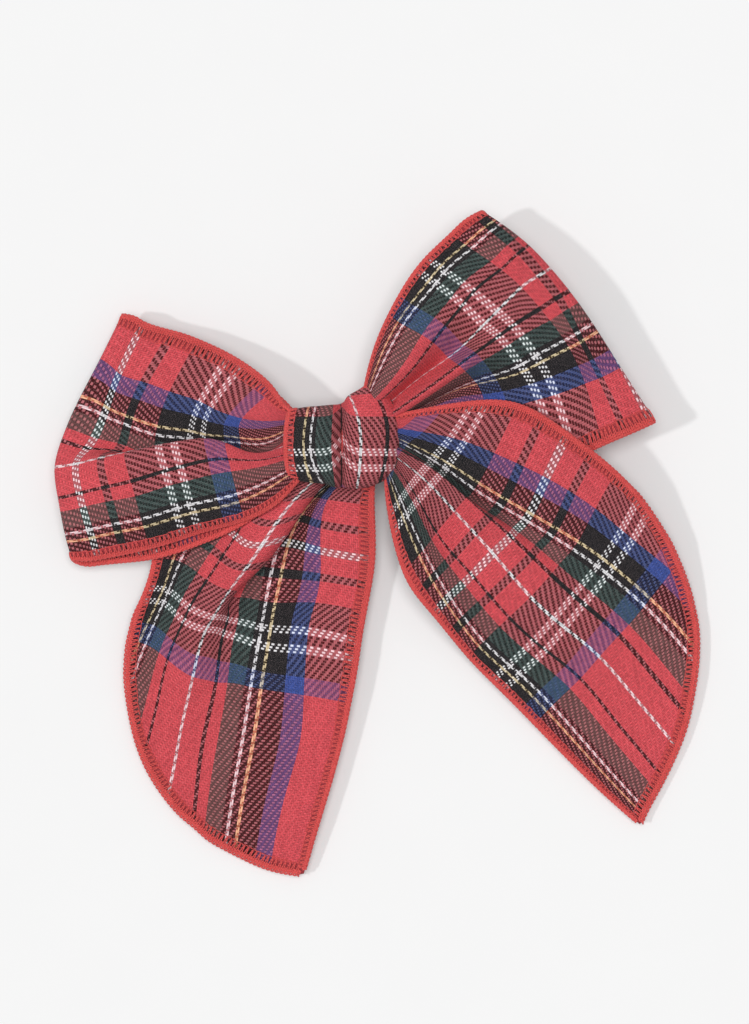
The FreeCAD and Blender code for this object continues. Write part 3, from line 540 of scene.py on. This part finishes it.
def overlock(edges, panel):
    """The threads of overlock stitching along edges of a panel. An edge is (across, along, side): arrays
    of places, and which way the cloth lies from it, +1 for growing distance across."""
    threads = []
    for edge_u, edge_t, side in edges:
        points = panel.at(edge_u, edge_t)[:, :3]
        length = distance_along(points)
        count = int(length[-1] / STITCH_PITCH)
        if count < 2:
            continue
        # inward direction in the plan of the cloth, at right angles to the edge
        du, dt = np.gradient(edge_u), np.gradient(edge_t)
        size = np.maximum(np.hypot(du, dt), 1e-9)
        inward_u, inward_t = dt / size * side, -du / size * side

        def place(s, w, h):
            """A point s along the edge, w in from it and h above the middle of the cloth."""
            s, w, h = (np.asarray(x, float) for x in (s, w, h))
            u0, t0 = np.interp(s, length, edge_u), np.interp(s, length, edge_t)
            in_u, in_t = np.interp(s, length, inward_u), np.interp(s, length, inward_t)
            here, normal = panel.frame_at(np.clip(u0 + in_u * w, 0, STRIP), t0 + in_t * w)
            inner = panel.at(np.clip(u0 + in_u, 0, STRIP), t0 + in_t)[..., :3]
            outward = unit(panel.at(u0, t0)[..., :3] - inner)
            return here + normal * h[:, None] - outward * np.minimum(w, 0)[:, None]

        surface = CLOTH / 2
        sway = rng.normal(0, 1, (count, 3))
        for face in (1, -1):
            s, w, h = [], [], []
            for k in range(count):
                for ds, dw, dh in STITCH_FAN:
                    s.append((k + ds + sway[k, 0] * 0.03 + sway[k, 2] * 0.06 * dw) * STITCH_PITCH)
                    w.append(dw * SERGE_WIDTH * (1 + sway[k, 1] * 0.045))
                    h.append(face * (surface + dh * THREAD * 0.8))
            threads.append((place(s, w, h), THREAD))
            # the bed of thread that covers the cloth next to the edge
            for w0, reach in BED:
                s = np.linspace(0, count * STITCH_PITCH, count * 5)
                wave = np.sin(s / STITCH_PITCH * math.tau + w0 * 9)
                h = face * (surface + 0.01 + 0.03 * wave)
                threads.append((place(s, w0 + reach * wave, h), BED_THREAD))
        # the needle's own stitches on the face
        s, w, h = [], [], []
        for k in range(count):
            for ds, dh in NEEDLE_STITCH:
                s.append((k + ds) * STITCH_PITCH)
                w.append(SERGE_WIDTH * (0.98 + sway[k, 1] * 0.03))
                h.append(surface + dh * NEEDLE_THREAD)
        threads.append((place(s, w, h), NEEDLE_THREAD))
        # the braid that locks the loopers on the edge itself
        turns = np.linspace(0, count * STITCH_PITCH, count * 8)
        for phase in (0, math.pi):
            angle = turns / STITCH_PITCH * math.pi + phase
            w = -0.14 + BRAID_SWING[0] * np.cos(angle)
            threads.append((place(turns, w, BRAID_SWING[1] * np.sin(angle)), BRAID))
    return threads


# ---- materials ----

MATERIALS = {}


class Nodes:
    """A short way to write a material's node tree."""

    def __init__(self, name):
        self.material = bpy.data.materials.new(name)
        self.material.use_nodes = True
        self.tree = self.material.node_tree
        self.tree.nodes.clear()
        self.surface = self.node("BsdfPrincipled")
        self.node("OutputMaterial", self.surface.outputs[0])

    def put(self, socket, value):
        if isinstance(value, bpy.types.NodeSocket):
            self.tree.links.new(value, socket)
        else:
            socket.default_value = value

    def node(self, kind, *values, **settings):
        """A new node with its settings, and its first inputs set or linked."""
        node = self.tree.nodes.new("ShaderNode" + kind)
        for name, value in settings.items():
            setattr(node, name, value)
        for socket, value in zip(node.inputs, values):
            self.put(socket, value)
        return node

    def set(self, node, **values):
        """Inputs of a node by name, with _ for a space."""
        for name, value in values.items():
            self.put(node.inputs[name.replace("_", " ")], value)
        return node

    def math(self, operation, *values):
        return self.node("Math", *values, operation=operation).outputs[0]

    def add(self, a, b):
        return self.math("ADD", a, b)

    def sub(self, a, b):
        return self.math("SUBTRACT", a, b)

    def mul(self, a, b):
        return self.math("MULTIPLY", a, b)

    def wave(self, turns):
        """From 0 to 1 and back once a turn."""
        return self.add(self.mul(self.math("SINE", self.mul(turns, math.tau)), 0.5), 0.5)

    def step_down(self, value, low, high):
        """1 below low, 0 above high, and smooth between."""
        return self.node("MapRange", value, low, high, 1.0, 0.0, interpolation_type="SMOOTHSTEP").outputs[0]

    def mix(self, share, first, second):
        node = self.node("Mix", share, data_type="RGBA")
        for socket, value in zip(node.inputs[6:8], (first, second)):
            self.put(socket, value if isinstance(value, bpy.types.NodeSocket) else tuple(value) + (1.0,))
        return node.outputs[2]

    def ramp(self, fac, stops):
        node = self.node("ValToRGB", fac)
        node.color_ramp.interpolation = "CONSTANT"
        elements = node.color_ramp.elements
        while len(elements) > 1:
            elements.remove(elements[-1])
        for position, colour in stops:
            element = elements.new(position) if position > 0 else elements[0]
            element.position, element.color = position, tuple(colour) + (1.0,)
        return node.outputs[0]

    def vector(self, x, y, z=0.0):
        return self.node("CombineXYZ", x, y, z).outputs[0]

    def noise(self, vector, scale, detail):
        return self.set(self.node("TexNoise", vector), Scale=scale, Detail=detail).outputs[0]

    def random(self, vector):
        return self.node("TexWhiteNoise", vector, noise_dimensions="2D").outputs[0]

    def uv(self, name="cloth"):
        return self.node("SeparateXYZ", self.node("UVMap", uv_map=name).outputs[0]).outputs[:2]

    def blend(self, operation, *values):
        """Vector arithmetic."""
        node = self.node("VectorMath", *values, operation=operation)
        return node.outputs["Value" if operation == "DOT_PRODUCT" else "Vector"]

    def scale(self, vector, factor):
        return self.set(self.node("VectorMath", vector, operation="SCALE"), Scale=factor).outputs[0]

    def position(self):
        return self.node("TexCoord").outputs["Object"]

    def bump(self, height, distance, strength):
        node = self.set(self.node("Bump"), Strength=strength, Distance=distance, Height=height)
        self.put(self.surface.inputs["Normal"], node.outputs[0])

    def finish(self, **values):
        """The finished material, from the inputs of its surface."""
        self.set(self.surface, **values)
        return self.material


def sett_stops(sett, whole):
    """Colour ramp stops, gamma encoded, from (end of the colour, colour) distances."""
    stops, start = [], 0.0
    for end, colour in sett:
        stops.append((start / whole, [part ** (1 / GAMMA) for part in colour]))
        start = end
    return stops


def plaid_material():
    n = Nodes("plaid_twill")
    u, v = n.uv()
    x = n.mul(u, UV_UNIT / END_PITCH)
    y = n.add(n.mul(v, UV_UNIT / PICK_PITCH), 0.5)
    i, j = n.math("FLOOR", x), n.math("FLOOR", y)
    fx, fy = n.sub(x, i), n.sub(y, j)
    warp_way, weft_way = n.sub(i, y), n.sub(x, j)
    # where along its float of two each yarn is, from -1 to 1, and further out when it is underneath
    warp_along = n.sub(n.math("FLOORED_MODULO", n.add(warp_way, 2.0), 4.0), 2.0)
    weft_along = n.sub(n.math("FLOORED_MODULO", weft_way, 4.0), 3.0)

    # the warp is set closer than the weft, so a pick shows as a short narrow dash between the ends
    off_centre = n.math("ABSOLUTE", n.sub(fy, 0.5))
    weft_up = n.mul(n.step_down(off_centre, WEFT_SHOWS - 0.10, WEFT_SHOWS + 0.13),
                    n.step_down(n.math("ABSOLUTE", weft_along), 0.85, 1.20))
    warp_up = n.sub(1.0, weft_up)

    warp = n.ramp(n.mul(n.add(i, 0.5), END_PITCH / STRIP), sett_stops(WARP_SETT, STRIP))
    folded = n.math("PINGPONG", n.mul(j, PICK_PITCH), HALF_REPEAT)
    weft = n.ramp(n.math("DIVIDE", folded, HALF_REPEAT), sett_stops(WEFT_SETT, HALF_REPEAT))

    def yarn(across, along, dip_share):
        """Height of a yarn: round across, and dipping towards both ends of a float."""
        round_ = n.math("POWER", n.math("ABSOLUTE", n.mul(n.sub(across, 0.5), 2.0)), 2.0)
        dip = n.math("POWER", n.math("ABSOLUTE", along), 3.0)
        return n.sub(n.sub(1.0, n.mul(round_, 0.40)), n.math("MINIMUM", n.mul(dip, dip_share), 0.55))

    height = n.add(n.mul(yarn(fx, warp_along, 0.22), warp_up), n.mul(yarn(fy, weft_along, 0.40), weft_up))

    # thread to thread, fibre to fibre and patch to patch variation, painted shade where the yarns dip, and
    # painted shade under the stitching
    warp_random = n.random(n.vector(i, n.math("FLOOR", n.mul(warp_way, 0.25))))
    weft_random = n.random(n.vector(n.math("FLOOR", n.mul(weft_way, 0.25)), j))
    spread = n.add(n.mul(warp_random, warp_up), n.mul(weft_random, n.sub(1.0, warp_up)))
    cloth = n.vector(n.mul(u, UV_UNIT), n.mul(v, UV_UNIT))
    fibre = n.noise(cloth, 7.0, 3.0)
    patch = n.noise(cloth, 0.35, 2.0)
    light = n.add(n.add(0.66, n.mul(spread, 0.32)), n.mul(fibre, 0.42))
    light = n.add(light, n.mul(n.sub(patch, 0.5), 0.12))
    # painted shade: the colour darkens where each yarn runs low, between yarns and at the ends of floats, on
    # top of the bump
    light = n.mul(light, n.add(0.40, n.mul(height, 0.63)))
    # painted shade: within the overlock's width of a stitched edge the cloth's colour is darkened, where the
    # threads would shade it
    edge, _ = n.uv("edge")
    clear = n.sub(1.0, n.step_down(n.mul(edge, UV_UNIT), SERGE_WIDTH - 0.5, SERGE_WIDTH + 0.1))
    light = n.mul(light, n.add(UNDER_STITCH_SHADE, n.mul(clear, 1 - UNDER_STITCH_SHADE)))

    # the yarns' fibres mingle where they cross: the hue spreads and the lightness doesn't
    own = n.mix(warp_up, weft, warp)
    both = n.mix(0.55, weft, warp)
    lift = n.sub(n.blend("DOT_PRODUCT", own, LUMA), n.blend("DOT_PRODUCT", both, LUMA))
    colour = n.mix(MINGLE, own, n.blend("ADD", both, n.vector(lift, lift, lift)))
    colour = n.blend("MINIMUM", n.blend("MAXIMUM", colour, (0.0, 0.0, 0.0)), (0.97, 0.97, 0.97))
    linear = n.node("Gamma", colour, GAMMA).outputs[0]
    fuzz = n.mul(n.math("GREATER_THAN", n.noise(cloth, 9.0, 2.0), 0.60), 0.20)
    n.bump(n.add(height, n.mul(fibre, 0.35)), 0.00016, 0.85)
    return n.finish(Base_Color=n.scale(n.mix(fuzz, linear, FUZZ), light), Roughness=0.88,
                    Specular_IOR_Level=0.14, Sheen_Weight=0.04, Sheen_Roughness=0.45)


def thread_material(name, colour, dark, twist=0.55):
    """Twisted yarn: slanting plies along the thread, with painted shade between them, and fibre and batch
    variation.
    """
    n = Nodes(name)
    along, round_ = n.uv()
    # the dark colour is painted shade in the grooves between plies; the patch noise is real batch variation
    ply = n.wave(n.add(n.mul(along, UV_UNIT / twist), n.mul(round_, 2.0)))
    patch = n.noise(n.position(), 900.0, 2.0)
    share = n.add(n.mul(ply, 0.60), n.mul(patch, 0.50))
    n.bump(ply, 0.00006, 0.8)
    return n.finish(Base_Color=n.mix(share, dark, colour), Roughness=0.72, Specular_IOR_Level=0.3,
                    Sheen_Weight=0.15)


def metal_material(name, colour, roughness, grain):
    n = Nodes(name)
    streak = n.noise(n.position(), grain, 3.0)
    cloud = n.noise(n.position(), 240.0, 2.0)
    n.bump(streak, 0.00001, 0.4)
    return n.finish(Base_Color=n.mix(cloud, [c * 0.82 for c in colour], colour),
                    Roughness=n.add(roughness, n.mul(streak, 0.16)), Metallic=1.0)


def ribbon_material():
    """Grosgrain: ribs across the ribbon and fine threads along it, with painted shade between the ribs."""
    n = Nodes("red_ribbon")
    u, v = n.uv()
    rib = n.wave(n.mul(v, UV_UNIT / 0.55))
    thread = n.math("SINE", n.mul(u, UV_UNIT / 0.28 * math.tau))
    patch = n.noise(n.position(), 700.0, 3.0)
    # the darker colour is painted shade between the ribs, mixed with real patchy variation
    share = n.add(n.mul(rib, 0.7), n.mul(patch, 0.4))
    n.bump(n.add(rib, n.mul(thread, 0.15)), 0.00018, 0.9)
    return n.finish(Base_Color=n.mix(share, (0.20, 0.006, 0.010), (0.56, 0.022, 0.030)), Roughness=0.55)


def glue_material():
    n = Nodes("hot_glue")
    cloud = n.noise(n.position(), 420.0, 3.0)
    n.bump(n.noise(n.position(), 650.0, 2.0), 0.00025, 0.7)
    return n.finish(Base_Color=n.mix(cloud, (0.80, 0.74, 0.58), (0.93, 0.90, 0.82)), Roughness=0.28,
                    Subsurface_Weight=0.35, Subsurface_Scale=0.002)


def floor_material():
    n = Nodes("paper")
    cloud = n.noise(n.position(), 60.0, 3.0)
    return n.finish(Base_Color=n.mix(cloud, (0.900, 0.900, 0.900), (0.915, 0.915, 0.915)), Roughness=0.95,
                    Specular_IOR_Level=0.1)


# ---- the cloth pieces ----

def full(value):
    return lambda t: np.full(np.shape(t), float(value))


def cut_curve(plan):
    """The cut edge of a tail, as a smooth function of the distance along it."""
    along = [p[0] for p in plan["cut"]]
    across = [p[1] for p in plan["cut"]]

    def curve(t):
        t = np.asarray(t, float)
        fine = np.linspace(along[0], along[-1], 600)
        raw = np.interp(fine, along, across)
        kernel = np.hanning(31)
        padded = np.concatenate([np.full(15, raw[0]), raw, np.full(15, raw[-1])])
        soft = np.convolve(padded, kernel / kernel.sum(), "valid")
        blend = np.clip((along[-1] - fine) / 3.0, 0, 1)
        return np.interp(t, fine, raw * (1 - blend) + soft * blend)
    return curve


def build_loop(side, plan, seed):
    panel = Panel(plan, seed)
    low, high = panel.along[0], panel.along[-1]
    cloth = panel_cloth(side + "_loop_cloth", panel, low, high, full(0), full(STRIP))
    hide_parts(side + "_loop_front", side + "_loop_back")
    t = np.linspace(high, low, 500)
    for name, u, direction in (("upper", 0.0, 1), ("lower", STRIP, -1)):
        if side == "right":
            name = {"upper": "lower", "lower": "upper"}[name]
        # walking down the strip, the cloth of edge A lies to one side and that of edge B to the other
        threads = overlock([(np.full(len(t), u), t, -direction)], panel)
        obj = threads_object(side + "_loop_" + name + "_threads", threads)
        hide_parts(side + "_loop_" + name + "_serging")


def build_tail(side, plan, seed):
    panel = Panel(plan, seed)
    low = panel.along[0]
    high = plan["cut"][-1][0]
    cut = cut_curve(plan)
    left = side == "left"
    first, last = (full(0), cut) if left else (cut, full(STRIP))
    cloth = panel_cloth(side + "_tail_cloth", panel, low, high, first, last)
    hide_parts(side + "_tail")
    t = np.linspace(low, high, 900)
    straight = (np.full(len(t), 0.0 if left else STRIP), t, 1 if left else -1)
    curved = (cut(t), t, -1 if left else 1)
    threads = overlock([straight, curved], panel)
    obj = threads_object(side + "_tail_threads", threads)
    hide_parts(side + "_tail_serging")
    width = last(t) - first(t)


class Wrap(Surface):
    """The strip that is tied round the middle: closed rings, one for each place across the strip."""

    reach = (0.1, 0.02)

    def __init__(self):
        self.table = np.array(WRAP_COLUMNS)[::-1]
        self.knots = self.table[:, 0]
        # length of cloth from the middle of the face round to each turn, for a typical ring
        self.turns = np.linspace(0, math.pi, 600)
        ring = [half * np.sign(wave) * np.abs(wave)**WRAP_SQUARENESS
                for half, wave in zip(WRAP_HALF, (np.sin(self.turns), np.cos(self.turns)))]
        self.arc = distance_along(np.stack(ring, 1))

    def at(self, u, turn):
        """u across the strip, turn from 0 at the middle of the face through the lower side, in radians."""
        shape = np.shape(u)
        u, turn = np.ravel(u), np.ravel(turn)
        x, top, bottom, lean_top, lean_bottom, crown = (spline_basis(self.knots, u) @ self.table[:, k]
                                                        for k in range(1, 7))
        s, c = np.sin(turn), np.cos(turn)
        power = WRAP_SQUARENESS
        sy, cz = np.sign(s) * np.abs(s)**power, np.sign(c) * np.abs(c)**power
        middle, half = (top + bottom) / 2, (top - bottom) / 2
        y = middle - half * sy
        centre = (crown + WRAP_BASE) / 2
        z = centre + (crown - WRAP_BASE) / 2 * cz
        toward_top = np.clip(-sy, 0, 1)
        toward_bottom = np.clip(sy, 0, 1)
        x = x + lean_top * toward_top**2 + lean_bottom * toward_bottom**2
        face = np.clip(c + 0.3, 0, 1)
        z = z + face * (smooth_noise(u, turn * 7, 3, 6.0) * 0.18)
        girth = np.interp(np.abs(turn), self.turns, self.arc) * np.sign(turn) * half / WRAP_HALF[0]
        rise = WRAP_PIN_RISE * np.exp(-((u - WRAP_PIN) / WRAP_PIN_WIDTH)**2) * face
        weft = -(WRAP_WEFT_AT_ZERO - middle + girth + rise)
        return np.stack([x, y, z, weft], -1).reshape(shape + (4,))


def build_knot():
    wrap = Wrap()
    seam = math.pi * 0.985
    rows = 180
    last = WRAP_COLUMNS[-1][0]
    u = np.linspace(last, STRIP, int((STRIP - last) / CELL * 1.4))
    turn = np.linspace(-seam, seam, rows)
    uu, tt = np.meshgrid(u, turn)
    values = wrap.at(uu, tt)
    _, normal = wrap.frame_at(uu, tt)
    uv = np.stack([uu, values[..., 3]], -1) / UV_UNIT
    cloth = cloth_shell("knot_wrap_cloth", values[..., :3], normal, uv, "plaid_twill", STRIP - uu)
    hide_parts("knot_wrap")
    t = np.linspace(-seam, seam, 400)
    threads = overlock([(np.full(len(t), STRIP), t, -1)], wrap)
    obj = threads_object("knot_wrap_threads", threads)
    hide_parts("knot_serging")


def build_waist():
    """The pleated middle of the strip and the thread wound round it, both inside the knot."""
    low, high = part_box("gathered_waist")
    x = np.linspace(low.x / MM, high.x / MM, 40)
    turn = np.linspace(0, math.tau, 121)[:-1]
    xx, tt = np.meshgrid(x, turn, indexing="ij")
    centre = np.array([(low.x + high.x) / 2, (low.y + high.y) / 2, (low.z + high.z) / 2]) / MM
    half_y, half_z = (high.y - low.y) / 2 / MM, (high.z - low.z) / 2 / MM
    waist = 0.70 + 0.22 * np.abs((xx - centre[0]) / (x[-1] - centre[0]))**1.6
    pleats = 1 + 0.07 * np.sin(tt * 9 + np.sin(xx * 0.6))
    points = np.stack([xx, centre[1] + half_y * waist * pleats * np.sin(tt),
                       centre[2] + half_z * waist * pleats * np.cos(tt)], -1)
    faces = ring_faces(*xx.shape, True)
    obj = mesh_object("gathered_waist_cloth", points.reshape(-1, 3), faces, "plaid_twill")
    set_uv(obj, np.stack([tt.ravel() * STRIP / math.tau, xx.ravel()], -1) / UV_UNIT)
    set_uv(obj, np.full((xx.size, 2), STRIP / UV_UNIT), "edge")
    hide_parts("gathered_waist")
    low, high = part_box("gathering_thread")
    turn = np.linspace(0, math.tau * WINDINGS, 60 * WINDINGS)
    inset = 0.92
    path = np.stack([low.x / MM + (high.x - low.x) / MM * turn / turn[-1],
                     centre[1] + (high.y - low.y) / 2 / MM * inset * np.sin(turn),
                     centre[2] + (high.z - low.z) / 2 / MM * inset * np.cos(turn)], -1)
    thread = threads_object("gathering_thread_wound", [(path, GATHERING_THREAD)])
    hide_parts("gathering_thread")


# ---- the clip's soft parts ----

def along_clip(points):
    """Points built along the clip, turned into place."""
    angle = math.radians(CLIP_TURN)
    c, s = math.cos(angle), math.sin(angle)
    p = np.asarray(points, float)
    return np.stack([p[..., 0] * c - p[..., 1] * s, p[..., 0] * s + p[..., 1] * c, p[..., 2]], -1)


def build_lining():
    """Grosgrain ribbon: under the upper arm, round its tip and back along its top."""
    low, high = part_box("clip_ribbon_lining")
    bottom, top = low.z / MM, high.z / MM
    radius = (top - bottom) / 2 - RIBBON_THICK / 2
    middle = (top + bottom) / 2
    flat = np.linspace(RIBBON_END, RIBBON_TIP + radius, 90)
    level = np.full(len(flat), radius)
    bend = np.linspace(-math.pi / 2, -math.pi * 1.5, 14)[1:-1]
    side_x = np.concatenate([flat, RIBBON_TIP + radius + radius * np.cos(bend), flat[::-1]])
    side_z = middle + np.concatenate([-level, radius * np.sin(bend), level])
    length = distance_along(np.stack([side_x, side_z], 1))
    across, along = np.meshgrid(np.linspace(-RIBBON_HALF, RIBBON_HALF, 24), length)
    x, z = (np.repeat(side[:, None], 24, 1) for side in (side_x, side_z))
    ripple = 0.03 * np.sin(along * 1.1 + across * 0.4)
    points = along_clip(np.stack([x, across, z + ripple * np.sign(z - middle)], -1))
    normal = unit(np.cross(np.gradient(points, axis=0), np.gradient(points, axis=1)))
    uv = np.stack([across, along], -1) / UV_UNIT
    obj = cloth_shell("clip_ribbon", points, normal, uv, "red_ribbon", thick=RIBBON_THICK)
    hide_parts("clip_ribbon_lining")


def build_glue():
    """The bead of hot glue between the ribbon and the knot, squeezed out unevenly."""
    low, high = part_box("glue_pad")
    bottom, top = low.z / MM - 0.02, high.z / MM + GLUE_OVER
    rings, around = 14, 96
    turn = np.linspace(0, math.tau, around + 1)[:-1]
    level = np.linspace(0, math.pi, rings)
    points = []
    for a in level:
        bulge = math.sin(a)**0.35
        z = (top + bottom) / 2 - (top - bottom) / 2 * math.cos(a)
        wobble = 1 + 0.05 * np.sin(turn * 5 + 1.1) + 0.03 * np.sin(turn * 11 + a)
        x, y = (half * bulge * wobble * np.sign(way) * np.abs(way)**0.7
                for half, way in zip(GLUE_HALF, (np.cos(turn), np.sin(turn))))
        points.append(np.stack([GLUE_CENTRE + x, y, np.full(around, z)], -1))
    points = along_clip(np.array(points)).reshape(-1, 3)
    obj = mesh_object("hot_glue_bead", points, ring_faces(rings, around), "hot_glue")
    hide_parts("glue_pad")


def build_spring():
    """The torsion spring, one wire: a leg under the upper lever, the coil, and a leg on the lower lever."""
    half = SPRING_TURNS * SPRING_PITCH / 2
    turn = np.linspace(0.08, math.tau * SPRING_TURNS - 0.08, 260)
    coil = np.stack([PIN[0] - SPRING_COIL * np.sin(turn), half - SPRING_PITCH * turn / math.tau,
                     PIN[1] + SPRING_COIL * np.cos(turn)], -1)
    reach = np.linspace(SPRING_LEG, 0.25, 30)
    upper = np.stack([PIN[0] + reach, np.full(30, half), PIN[1] + SPRING_COIL + reach * UPPER_LEG_SLOPE], -1)
    reach = reach[::-1]
    lower = np.stack([PIN[0] + reach, np.full(30, -half), PIN[1] - SPRING_COIL - reach * LOWER_LEG_SLOPE], -1)
    path = along_clip(np.concatenate([upper, coil, lower]))
    points, faces = tube(path, SPRING_WIRE, 12, along_clip([0.0, 1.0, 0.0]))
    obj = mesh_object("clip_spring_wire", points, faces, "spring_steel", None)
    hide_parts("clip_spring")
    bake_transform(obj)


def finish_metal():
    for node, slot in (("clip_upper_arm", "clip_steel"), ("clip_lower_arm", "clip_steel"),
                       ("clip_hinge_pin", "pin_steel")):
        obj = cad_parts[node]
        obj.data.materials.clear()
        obj.data.materials.append(MATERIALS[slot])


# ---- studio ----

def studio():
    mesh = bpy.data.meshes.new("floor")
    h = FLOOR_SIZE / 2
    mesh.from_pydata([(-h, -h, 0), (h, -h, 0), (h, h, 0), (-h, h, 0)], [], [(0, 1, 2, 3)])
    floor = scene_object("floor", mesh)
    floor.location.z = min(0.0, CAD_BOX[0].z) - FLOOR_GAP
    floor.data.materials.append(floor_material())

    for lamp_row in LAMPS:
        lamp(*lamp_row)
    world = bpy.data.worlds.new("studio")
    world.use_nodes = True
    background = world.node_tree.nodes["Background"]
    background.inputs[0].default_value = (1.0, 1.0, 1.0, 1.0)
    background.inputs[1].default_value = WALLS
    bpy.context.scene.world = world

    data = bpy.data.cameras.new("camera")
    data.lens, data.sensor_width, data.sensor_fit = LENS, SENSOR, "AUTO"
    data.dof.use_dof = False
    camera = scene_object("camera", data)
    distance = VIEW_HEIGHT * LENS / SENSOR
    camera.location = (VIEW_CENTRE[0] * MM, VIEW_CENTRE[1] * MM, (distance + VIEW_PLANE) * MM)
    data.clip_start, data.clip_end = 0.01, 10.0
    bpy.context.scene.camera = camera
    bpy.context.scene.view_settings.view_transform = "Standard"


def lamp(name, energy, width, azimuth, elevation):
    """A far light: its strength, and its angular width and direction in degrees."""
    sun = bpy.data.lights.new(name, "SUN")
    sun.energy, sun.angle = energy, math.radians(width)
    obj = scene_object(name, sun)
    obj.rotation_euler = (0.0, math.radians(90.0 - elevation), math.radians(azimuth))


MATERIALS["plaid_twill"] = plaid_material()
# the second colour is the painted shade between the thread's plies
MATERIALS["serging_thread"] = thread_material("serging_thread", (0.86, 0.120, 0.112), (0.52, 0.040, 0.040))
MATERIALS["clip_steel"] = metal_material("clip_steel", (0.80, 0.80, 0.81), 0.16, 1500.0)
MATERIALS["pin_steel"] = metal_material("pin_steel", (0.76, 0.76, 0.77), 0.20, 2500.0)
MATERIALS["spring_steel"] = metal_material("spring_steel", (0.58, 0.58, 0.60), 0.26, 4000.0)
MATERIALS["red_ribbon"] = ribbon_material()
MATERIALS["hot_glue"] = glue_material()
build_waist()
build_loop("left", LEFT_LOOP, 11)
build_loop("right", RIGHT_LOOP, 12)
build_tail("left", LEFT_TAIL, 13)
build_tail("right", RIGHT_TAIL, 14)
build_knot()
build_lining()
build_glue()
build_spring()
finish_metal()
studio()
bpy.context.view_layer.update()
